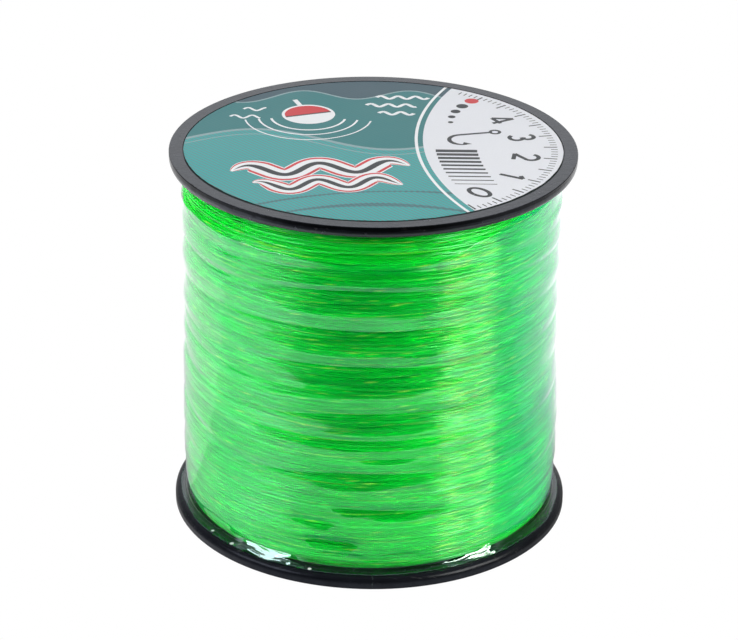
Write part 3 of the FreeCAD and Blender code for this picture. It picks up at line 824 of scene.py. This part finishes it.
# inks: linear red, green, blue, and how much of the fine hatch shows in them
TEAL = (0.000, 0.375, 0.375, 1.0)
DEEP = (0.005, 0.165, 0.182, 0.15)
FAR = (0.022, 0.072, 0.105, 0.10)
SHADE = (0.030, 0.150, 0.170, 0.6)
MIST = (0.24, 0.36, 0.40, 0.2)
PANEL = (0.71, 0.73, 0.82, 0.0)
WHITE = (0.78, 0.80, 0.86, 0.0)
RED = (0.56, 0.020, 0.030, 0.0)
DARK = (0.016, 0.020, 0.028, 0.0)


def circle(cx, cy, r, n=72):
    a = 2 * np.pi * (np.arange(n) + 0.5) / n
    return np.stack([cx + r * np.cos(a), cy + r * np.sin(a)], -1)


def ribbon(pts, width):
    """A closed loop round a line of points; width is one number or one per point."""
    p = np.asarray(pts, float)
    d = np.gradient(p, axis=0)
    d /= np.linalg.norm(d, axis=1, keepdims=True) + 1e-12
    n = np.stack([-d[:, 1], d[:, 0]], -1) * (np.broadcast_to(np.asarray(width, float), (len(p),)) / 2.0)[:, None]
    return np.concatenate([p + n, (p - n)[::-1]])


def arc(cx, cy, r, a0, a1, n=24):
    a = np.radians(np.linspace(a0, a1, n))
    return np.stack([cx + r * np.cos(a), cy + r * np.sin(a)], -1)


def placed(loop, cx, cy, turn, size=1.0):
    a = math.radians(turn)
    c_, s_ = math.cos(a), math.sin(a)
    return np.asarray(loop, float) * size @ np.array([[c_, s_], [-s_, c_]]) + (cx, cy)


DIGITS = {      # strokes on a field 4 wide and 6 high
    0: [np.concatenate([arc(2, 3.0, 1.0, 0, 360, 29) * (1.7, 2.8) + (-1.4, -5.4)])],
    1: [[(0.9, 4.7), (1.5, 5.2), (2.2, 5.9)], [(2.2, 5.9), (2.2, 3.0), (2.2, 0.2)]],
    2: [np.concatenate([arc(2, 4.1, 1.7, 165, -30, 14), [(2.6, 2.4), (1.4, 1.2), (0.4, 0.3)]]), [(0.3, 0.3), (2.0, 0.3), (3.8, 0.3)]],
    3: [arc(1.9, 4.3, 1.45, 150, -88, 14), arc(1.9, 1.75, 1.6, 88, -150, 14)],
    4: [[(3.0, 0.2), (3.0, 3.0), (3.0, 5.9)], [(3.0, 5.9), (1.6, 3.8), (0.2, 1.8)], [(0.2, 1.8), (2.0, 1.8), (3.9, 1.8)]],
}

shapes = [([circle(0, 0, LABEL_R, 240)], TEAL)]
# the deeper field behind a wave, with a pale ribbon on the wave and an echo of it
wx = np.linspace(-38, 40, 80)
wave = np.stack([wx, 4.0 + 5.0 * np.sin((wx + 36.0) / 26.0 * np.pi)], -1)
shapes.append(([np.concatenate([wave, [(40, 40), (-38, 40)]])], DEEP))
hills = np.stack([wx, 29.0 + 2.6 * np.sin((wx + 20.0) / 11.0 * np.pi) - 0.004 * wx ** 2], -1)
shapes.append(([np.concatenate([hills, [(40, 40), (-38, 40)]])], FAR))
shapes.append(([ribbon(hills, 0.5)], MIST))
shapes.append(([ribbon(wave, 0.95)], MIST))
shapes.append(([ribbon(wave + (0.0, -2.6), 0.34)], MIST))
# two darker swells in the front field
shapes.append(([ribbon(arc(6.0, -78.0, 56.0, 52, 128, 60), np.interp(np.arange(60), [0, 30, 59], [2.6, 0.5, 0.9]))], SHADE))
shapes.append(([ribbon(arc(2.0, -70.0, 41.5, 60, 122, 50), np.interp(np.arange(50), [0, 25, 49], [0.4, 1.7, 0.4]))], SHADE))
# ribbons like water at the front left
for k, (ox, oy, scale) in enumerate(((0.0, 0.0, 1.0), (1.5, -7.6, 0.82))):
    t = np.linspace(0, 1, 70)
    px = -27.0 + 34.0 * t
    py = -11.0 + 2.6 * np.sin(2 * np.pi * (px + 27.0) / 13.5 + 0.9 * k)
    taper = np.clip(np.minimum(t, 1 - t) / 0.16, 0.02, 1.0) ** 0.6
    line = placed(np.stack([px + 10.0, py + 11.0], -1), -10.0 + ox, -11.0 + oy, 7.0, scale)
    for w_, ink in ((6.3, WHITE), (5.7, RED), (4.3, WHITE), (1.5, DARK)):
        shapes.append(([ribbon(line, w_ * scale * taper if ink != DARK else 1.5 * scale * np.clip(taper * 1.4 - 0.4, 0.01, 1))], ink))
# a round float, half red and half white, with rings on the water round it
fx, fy = -13.0, 17.5
for r_, w_ in ((7.4, 0.5), (9.9, 0.42), (12.6, 0.34)):
    shapes.append(([ribbon(arc(fx, fy - 1.2, r_, 190, 350, 40), w_)], WHITE))
shapes.append(([placed(ribbon([(0, 4.0), (0, 6.2), (0, 8.6)], 1.0), fx, fy, 20)], WHITE))
shapes.append(([circle(fx, fy, 5.3)], WHITE))
shapes.append(([circle(fx, fy, 4.7)], RED))
shapes.append(([placed(np.concatenate([arc(0, 0, 4.7, 180, 360, 36)]), fx, fy, 20)], WHITE))
shapes.append(([placed(ribbon([(-4.7, 0), (0, 0), (4.7, 0)], 0.55), fx, fy, 20)], DARK))
# short strokes of water behind
for k, (x0, x1, y0, w_) in enumerate(((0.5, 11.0, 27.5, 0.85), (-1.5, 8.5, 23.0, 0.85), (1.0, 8.0, 18.6, 0.85), (-26.0, -21.5, 20.0, 0.6), (-28.5, -22.5, 15.8, 0.6))):
    px = np.linspace(x0, x1, 36)
    shapes.append(([ribbon(np.stack([px, y0 + 0.8 * np.sin(2 * np.pi * (px - x0) / 3.5)], -1), w_)], WHITE))
# the pale panel on the right with its border line, and a scale along the edge
shapes.append(([circle(81.0, 4.0, 73.0, 300), circle(81.0, 4.0, 72.4, 300)], WHITE))
shapes.append(([circle(81.0, 4.0, 71.4, 300)], PANEL))
for k, a_ in enumerate(np.arange(-58, 61, 2.0)):
    long_ = 2.6 if k % 5 == 0 else 1.3
    a_r = math.radians(a_)
    d_ = np.array([math.cos(a_r), math.sin(a_r)])
    shapes.append(([ribbon([d_ * 35.6, d_ * (35.6 - long_ / 2), d_ * (35.6 - long_)], 0.40 if k % 5 == 0 else 0.26)], DARK))
for k, a_ in enumerate((-48, -28, -8, 12, 32)):
    a_r = math.radians(a_)
    for stroke in DIGITS[k]:
        shapes.append(([placed(ribbon(np.asarray(stroke, float) - (2.0, 3.0), 1.0), 29.6 * math.cos(a_r), 29.6 * math.sin(a_r), a_ - 90, 0.86)], DARK))
# bars of growing weight and dots, as a scale of line sizes
for k in range(10):
    y_ = -18.0 + 1.85 * k
    x_ = 83.2 - math.sqrt(71.4 ** 2 - (y_ - 4.0) ** 2)
    shapes.append(([placed(ribbon([(0, 0), (0, 4.0), (0, 8.0)], 0.28 + 0.12 * k), x_, y_, -90)], DARK))
for k in range(5):
    shapes.append(([circle(15.2 + 0.28 * k * k, 14.0 + 3.0 * k, 0.55 + 0.22 * k, 24)], RED if k == 4 else DARK))
# a plain hook
hook = np.concatenate([[(0, 9.5), (0, 7.0), (0, 4.5)], arc(2.6, 3.2, 2.6, 180, 365, 26)])
hx, hy, ht = 13.6, 6.4, -76
shapes.append(([placed(ribbon(hook, np.interp(np.arange(len(hook)), [0, 20, len(hook) - 1], [0.75, 0.9, 0.3])), hx, hy, ht, 1.0)], DARK))
shapes.append(([placed(circle(0, 10.5, 1.25, 28), hx, hy, ht), placed(circle(0, 10.5, 0.6, 24), hx, hy, ht)], DARK))
shapes.append(([placed([(5.2, 4.4), (5.3, 2.4), (3.9, 3.1)], hx, hy, ht)], DARK))

pts, segs = [], []
for loops_, _ in shapes:
    for loop in loops_:
        n0 = len(pts)
        pts.extend(Vector(q_) for q_ in np.asarray(loop, float))
        segs.extend((n0 + i, n0 + (i + 1) % len(loop)) for i in range(len(loop)))
cdt = delaunay_2d_cdt(pts, segs, [], 0, 1e-5)
flat_v = np.array([tuple(v_) for v_ in cdt[0]])
tris = np.array([f_ for f_ in cdt[2] if len(f_) == 3])
mid_p = flat_v[tris].mean(1)
area2 = np.cross(flat_v[tris[:, 1]] - flat_v[tris[:, 0]], flat_v[tris[:, 2]] - flat_v[tris[:, 0]])
tris = np.where((area2 < 0)[:, None], tris[:, ::-1], tris)


def inside_loops(points, loops_):
    """Even-odd test of points against closed loops."""
    hit = np.zeros(len(points), bool)
    x_, y_ = points[:, 0], points[:, 1]
    for loop in loops_:
        loop = np.asarray(loop, float)
        if len(loop) == 0:
            continue
        near = (y_ > loop[:, 1].min()) & (y_ < loop[:, 1].max()) & (x_ < loop[:, 0].max())
        idx = np.nonzero(near)[0]
        if not len(idx):
            continue
        a_, b_ = loop, np.roll(loop, -1, 0)
        yy_ = y_[idx][:, None]
        cross = (a_[None, :, 1] > yy_) != (b_[None, :, 1] > yy_)
        xi = a_[None, :, 0] + (yy_ - a_[None, :, 1]) * (b_[:, 0] - a_[:, 0])[None, :] / np.where(b_[:, 1] == a_[:, 1], 1e-9, b_[:, 1] - a_[:, 1])[None, :]
        hit[idx] ^= ((cross & (x_[idx][:, None] < xi)).sum(1) % 2).astype(bool)
    return hit


keep = inside_loops(mid_p, shapes[0][0])
tris, mid_p = tris[keep], mid_p[keep]
ink_of = np.zeros((len(tris), 4))
for loops_, ink in shapes:
    ink_of[inside_loops(mid_p, loops_)] = ink
used, inv = np.unique(tris.ravel(), return_inverse=True)
tris, flat_v = inv.reshape(-1, 3), flat_v[used]
nl = len(flat_v)
e_all = np.concatenate([tris[:, [0, 1]], tris[:, [1, 2]], tris[:, [2, 0]]])
fwd_set = {tuple(e_) for e_ in e_all.tolist()}
rim_e = np.array([e_ for e_ in e_all.tolist() if (e_[1], e_[0]) not in fwd_set])
lab_v = np.concatenate([np.column_stack([flat_v, np.full(nl, LABEL_HI)]), np.column_stack([flat_v, np.full(nl, LABEL_LO)])])
side = np.stack([rim_e[:, 1], rim_e[:, 0], rim_e[:, 0] + nl, rim_e[:, 1] + nl], -1)
lab_faces = [tris, tris[:, ::-1] + nl, side]
plan = 0.5 + flat_v / (2 * LABEL_R) * 0.96
corner_uv = plan * 0.015
lab_uv = np.concatenate([plan[tris].reshape(-1, 2), corner_uv[tris[:, ::-1]].reshape(-1, 2), np.tile([[0.985, 0.002], [0.99, 0.002], [0.99, 0.006], [0.985, 0.006]], (len(side), 1))])
label = make_mesh("label_disc", lab_v, lab_faces, smooth=False, uv=lab_uv)
paper = (0.62, 0.63, 0.62, 0.0)
ink_c = np.concatenate([np.repeat(ink_of, 3, 0), np.tile(paper, (3 * len(tris) + 4 * len(side), 1))]).astype(np.float32)
attr = label.data.color_attributes.new("ink", "FLOAT_COLOR", "CORNER")
attr.data.foreach_set("color", ink_c.ravel())
print("label: %d triangles on the face" % len(tris))

lab_mat, nt, out = new_material("label_print")
N = Nodes(nt)
coord = N.add("ShaderNodeTexCoord").outputs["Object"]
ink = N.add("ShaderNodeAttribute", attribute_name="ink")
sep = N.add("ShaderNodeSeparateXYZ")
nt.links.new(coord, sep.inputs[0])
hatch = []
for turn_ in (41.0, -41.0):
    along = N.math("ADD", N.math("MULTIPLY", sep.outputs[0], math.cos(math.radians(turn_))), N.math("MULTIPLY", sep.outputs[1], math.sin(math.radians(turn_))))
    hatch.append(N.math("SINE", N.math("MULTIPLY", along, 2 * math.pi / 0.00080)))
lines_ = N.math("ADD", N.math("MULTIPLY", N.step(hatch[0], -0.4, 0.8), 0.74), N.math("MULTIPLY", N.step(hatch[1], -0.2, 0.8), 0.16))
hatched = N.mix(N.math("MULTIPLY", lines_, ink.outputs["Alpha"]), ink.outputs["Color"], (0.115, 0.180, 0.225))
# painted shade along the label's cut edge, wider on the near side
rad_ = N.math("SQRT", N.math("ADD", N.math("MULTIPLY", sep.outputs[0], sep.outputs[0]), N.math("MULTIPLY", sep.outputs[1], sep.outputs[1])))
near_ = N.math("MINIMUM", N.math("MAXIMUM", N.math("MULTIPLY", N.math("DIVIDE", sep.outputs[1], rad_), -1.5), 0.08), 1.0)
ragged = N.mixf(N.noise(N.mapped(coord, (420, 420, 420)), 1.0, 2.0), 0.00040, 0.00085)
edge_ = N.step(N.math("ADD", N.math("SUBTRACT", rad_, LABEL_R * MM), N.math("MULTIPLY", near_, ragged)), -0.00003, 0.00005)
grain = N.noise(N.mapped(coord, (5200, 5200, 5200)), 1.0, 2.0)
cloud = N.noise(N.mapped(coord, (45, 45, 45)), 1.0, 2.0)
gain = N.math("ADD", 0.91, N.math("ADD", N.math("MULTIPLY", grain, 0.12), N.math("MULTIPLY", cloud, 0.06)))
comb = N.add("ShaderNodeCombineColor")
for i in range(3):
    N.put(comb.inputs[i], gain)
printed = N.add("ShaderNodeMix", data_type="RGBA", blend_type="MULTIPLY")
printed.inputs[0].default_value = 1.0
N.put(printed.inputs[6], N.mix(edge_, hatched, (0.004, 0.010, 0.010)))
N.put(printed.inputs[7], comb.outputs[0])
p = N.add("ShaderNodeBsdfPrincipled")
N.put(p.inputs["Base Color"], printed.outputs[2])
N.put(p.inputs["Roughness"], N.mixf(cloud, 0.24, 0.40))
p.inputs["IOR"].default_value = 1.5
N.put(p.inputs["Specular IOR Level"], N.mixf(edge_, 0.24, 0.02))
sheen = N.bump(cloud, 0.0006, 0.25)
N.put(p.inputs["Normal"], N.bump(grain, 0.00001, 0.4, sheen))
nt.links.new(p.outputs[0], out.inputs[0])
label.data.materials.append(lab_mat)

# ---------------------------------------------------------------- the tape under the first turns of line
tape_mat, nt, out = new_material("tape_crepe")
N = Nodes(nt)
coord = N.add("ShaderNodeTexCoord").outputs["Object"]
crepe = N.noise(N.mapped(coord, (900, 900, 240)), 1.0, 3.0)
p = N.add("ShaderNodeBsdfPrincipled")
N.put(p.inputs["Base Color"], N.mix(crepe, (0.52, 0.40, 0.20), (0.74, 0.62, 0.38)))
p.inputs["Roughness"].default_value = 0.7
N.put(p.inputs["Normal"], N.bump(crepe, 0.0001, 0.8))
nt.links.new(p.outputs[0], out.inputs[0])
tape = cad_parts["start_tape"]
tape.data.materials.clear()
tape.data.materials.append(tape_mat)

# ---------------------------------------------------------------- the CAD nodes' own finish
for name in ("upper_flange", "lower_flange", "core_barrel", "arbor_tube"):
    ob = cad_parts[name]
    ob.data.materials.clear()
    ob.data.materials.append(plastic)
for name in ("line_end",):
    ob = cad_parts[name]
    ob.data.materials.clear()
    ob.data.materials.append(core_mat)

# ---------------------------------------------------------------- what rides on what
for ob, node, slot in ((strands, "line_winding", "line"), (film, "shrink_film", "film"), (label, "top_label", "label")):
    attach(ob, "root")
    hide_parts(node)

# ---------------------------------------------------------------- floor, light and camera
scene = bpy.context.scene


# light levels of the studio, by the side they come from
FLOOR_AZ = (-180, -160, -142, -130, -120, -100, -60, -40, -20, 0, 20, 40, 60, 90, 135, 160, 180)
FLOOR_NEAR = (0.50, 0.70, 1.00, 0.88, 0.66, 0.60, 0.64, 0.56, 0.38, 0.34, 0.52, 1.00, 1.10, 1.00, 0.72, 0.70, 0.75)
FLOOR_FAR = (1.10, 1.15, 1.10, 1.05, 1.08, 1.20, 1.30, 0.95, 0.64, 0.64, 0.86, 1.05, 1.20, 1.28, 0.92, 1.00, 1.30)
FLOOR_BEYOND = (1.20, 0.90, 0.30, 0.04, 0.00, 0.00, 0.00, 0.10, 0.50, 0.80, 0.80, 0.80, 0.80, 0.80, 0.80, 1.00, 1.20)
WORLD_AZ = (-180, -160, -145, -128, -68, -50, -22, 0, 45, 90, 135, 180)
WORLD_LOW = (0.14, 0.10, 0.05, 0.00, 0.00, 0.00, 0.05, 0.13, 0.40, 1.14, 0.40, 0.14)
WORLD_MID = (0.35, 0.32, 0.28, 0.10, 0.00, 0.02, 0.32, 0.75, 0.30, 0.30, 0.50, 0.35)
WORLD_TOP = 0.10


def round_ramp(N, x, y, azimuths, values):
    """A level that changes with azimuth, straight between the given ones."""
    n = N.add("ShaderNodeValToRGB")
    els = n.color_ramp.elements
    while len(els) > 1:
        els.remove(els[-1])
    for k, (a_, v_) in enumerate(zip(azimuths, values)):
        e_ = els[0] if k == 0 else els.new((a_ + 180) / 360)
        e_.position = (a_ + 180) / 360
        e_.color = (v_ / 2, v_ / 2, v_ / 2, 1)
    N.put(n.inputs[0], N.math("ADD", N.math("DIVIDE", N.math("ARCTAN2", y, x), 2 * math.pi), 0.5))
    return N.math("MULTIPLY", n.outputs[0], 2.0)


def painted_shadow_patch(N, x, y):
    """The spool's own soft shadow, painted on the floor to the right of it: 1 in the shadow."""
    u = N.math("DIVIDE", N.math("MAXIMUM", N.math("SUBTRACT", x, 0.066), 0.0), 0.056)
    v = N.math("DIVIDE", N.math("ADD", N.math("ADD", y, 0.0175), N.math("MULTIPLY", x, 0.035)), 0.0165)
    return N.math("MULTIPLY", N.step(N.math("ADD", N.math("MULTIPLY", u, u), N.math("MULTIPLY", v, v)), 1.25, 0.75), N.step(x, 0.034, 0.044))


def floor_material():
    m, nt, out = new_material("floor_white")
    N = Nodes(nt)
    geo = N.add("ShaderNodeNewGeometry")
    sep = N.add("ShaderNodeSeparateXYZ")
    nt.links.new(geo.outputs["Position"], sep.inputs[0])
    x, y = sep.outputs[0], sep.outputs[1]
    # painted light levels on the paper: uneven round the spool, close to it and further out, and ending in front at the
    # table's edge
    dist = N.math("SQRT", N.math("ADD", N.math("MULTIPLY", x, x), N.math("MULTIPLY", y, y)))
    light = N.mixf(N.step(dist, 0.055, 0.125), round_ramp(N, x, y, FLOOR_AZ, FLOOR_NEAR), round_ramp(N, x, y, FLOOR_AZ, FLOOR_FAR))
    light = N.mixf(N.step(y, -0.098, -0.110), light, round_ramp(N, x, y, FLOOR_AZ, FLOOR_BEYOND))
    light = N.mixf(painted_shadow_patch(N, x, y), light, 0.30)
    # painted shade close round the foot, where the spool shades the paper
    light = N.math("MULTIPLY", light, N.mixf(N.step(dist, 0.041, 0.054), 0.62, 1.0))
    e_cam = N.add("ShaderNodeEmission")
    e_cam.inputs[1].default_value = 1.0
    e = N.add("ShaderNodeEmission")
    N.put(e.inputs[1], light)
    lp = N.add("ShaderNodeLightPath")
    mix = N.add("ShaderNodeMixShader")
    N.put(mix.inputs[0], lp.outputs["Is Camera Ray"])
    nt.links.new(e.outputs[0], mix.inputs[1])
    nt.links.new(e_cam.outputs[0], mix.inputs[2])
    nt.links.new(mix.outputs[0], out.inputs[0])
    return m


s = 3000.0
floor = make_mesh("studio_floor", [(-s, -s, -0.02), (s, -s, -0.02), (s, s, -0.02), (-s, s, -0.02)], [np.array([[0, 1, 2, 3]])], smooth=False, mats=[floor_material()])
floor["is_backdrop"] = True

world = bpy.data.worlds.new("studio")
scene.world = world
world.use_nodes = True
nt = world.node_tree
nt.nodes.clear()
N = Nodes(nt)
out = nt.nodes.new("ShaderNodeOutputWorld")
sep = N.add("ShaderNodeSeparateXYZ")
nt.links.new(N.add("ShaderNodeTexCoord").outputs["Generated"], sep.inputs[0])
x, y, z = sep.outputs
level = N.mixf(N.step(z, math.sin(math.radians(30)), math.sin(math.radians(40))), round_ramp(N, x, y, WORLD_AZ, WORLD_LOW), round_ramp(N, x, y, WORLD_AZ, WORLD_MID))
level = N.mixf(N.step(z, math.sin(math.radians(64)), math.sin(math.radians(74))), level, WORLD_TOP)
bg = N.add("ShaderNodeBackground")
bg.inputs[0].default_value = (0.97, 0.985, 1.0, 1)
N.put(bg.inputs[1], level)
white = N.add("ShaderNodeBackground")
white.inputs[0].default_value = (1, 1, 1, 1)
white.inputs[1].default_value = 1.0
lp = N.add("ShaderNodeLightPath")
mix = N.add("ShaderNodeMixShader")
N.put(mix.inputs[0], lp.outputs["Is Camera Ray"])
nt.links.new(bg.outputs[0], mix.inputs[1])
nt.links.new(white.outputs[0], mix.inputs[2])
nt.links.new(mix.outputs[0], out.inputs[0])


def area(name, az, el, dist, w, h, power, colour=(1, 1, 1)):
    """A soft box that faces the spool."""
    l = bpy.data.lights.new(name, "AREA")
    l.shape = "RECTANGLE"
    l.size, l.size_y = w, h
    l.energy = power
    l.color = colour
    ob = bpy.data.objects.new(name, l)
    a, e = math.radians(az), math.radians(el)
    d = Vector((math.cos(a) * math.cos(e), math.sin(a) * math.cos(e), math.sin(e)))
    ob.location = Vector((0, 0, 0.038)) + d * dist
    ob.rotation_mode = "QUATERNION"
    ob.rotation_quaternion = d.to_track_quat("Z", "Y")
    ob.visible_camera = False
    scene.collection.objects.link(ob)
    return ob


area("softbox_right", -29.5, 24.0, 0.70, 0.42, 0.34, 3.6, (1.0, 0.95, 0.70))
for name_, az_, w_, power_ in (("strip_right_near", -39.5, 0.17, 2.4), ("strip_right_far", -18.5, 0.15, 1.8)):
    strip = area(name_, az_, 24.0, 0.68, w_, 0.34, power_, (1.0, 0.95, 0.82))
    strip.visible_diffuse = False
strip = area("strip_left", -141.0, 30.0, 0.74, 0.13, 0.36, 1.0)
strip.visible_diffuse = False
area("softbox_left", -161.0, 30.0, 0.75, 0.36, 0.36, 2.4)
fill = area("fill_left_front", -118.0, 46.0, 0.75, 0.50, 0.60, 1.6)
fill.visible_glossy = False
area("softbox_top", 90.0, 78.0, 0.80, 0.80, 0.80, 1.2)

D = 0.079
cam_data = bpy.data.cameras.new("camera")
cam = bpy.data.objects.new("camera", cam_data)
scene.collection.objects.link(cam)
e, roll = math.radians(25.118), math.radians(0.6752)
fwd = Vector((0, math.cos(e), -math.sin(e)))
up0 = Vector((0, math.sin(e), math.cos(e)))
right0 = Vector((1, 0, 0))
right = right0 * math.cos(roll) + up0 * math.sin(roll)
up = up0 * math.cos(roll) - right0 * math.sin(roll)
M = Matrix((right, up, -fwd)).transposed().to_4x4()
M.translation = Vector((-0.00600, -6.36660, 3.47340)) * D
cam.matrix_world = M
cam_data.lens = 136.307
cam_data.sensor_width = 36.0
cam_data.sensor_fit = "HORIZONTAL"
cam_data.clip_start = 0.01
cam_data.clip_end = 20.0
scene.camera = cam
scene.view_settings.view_transform = "Standard"
scene.view_settings.look = "None"

lo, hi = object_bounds()
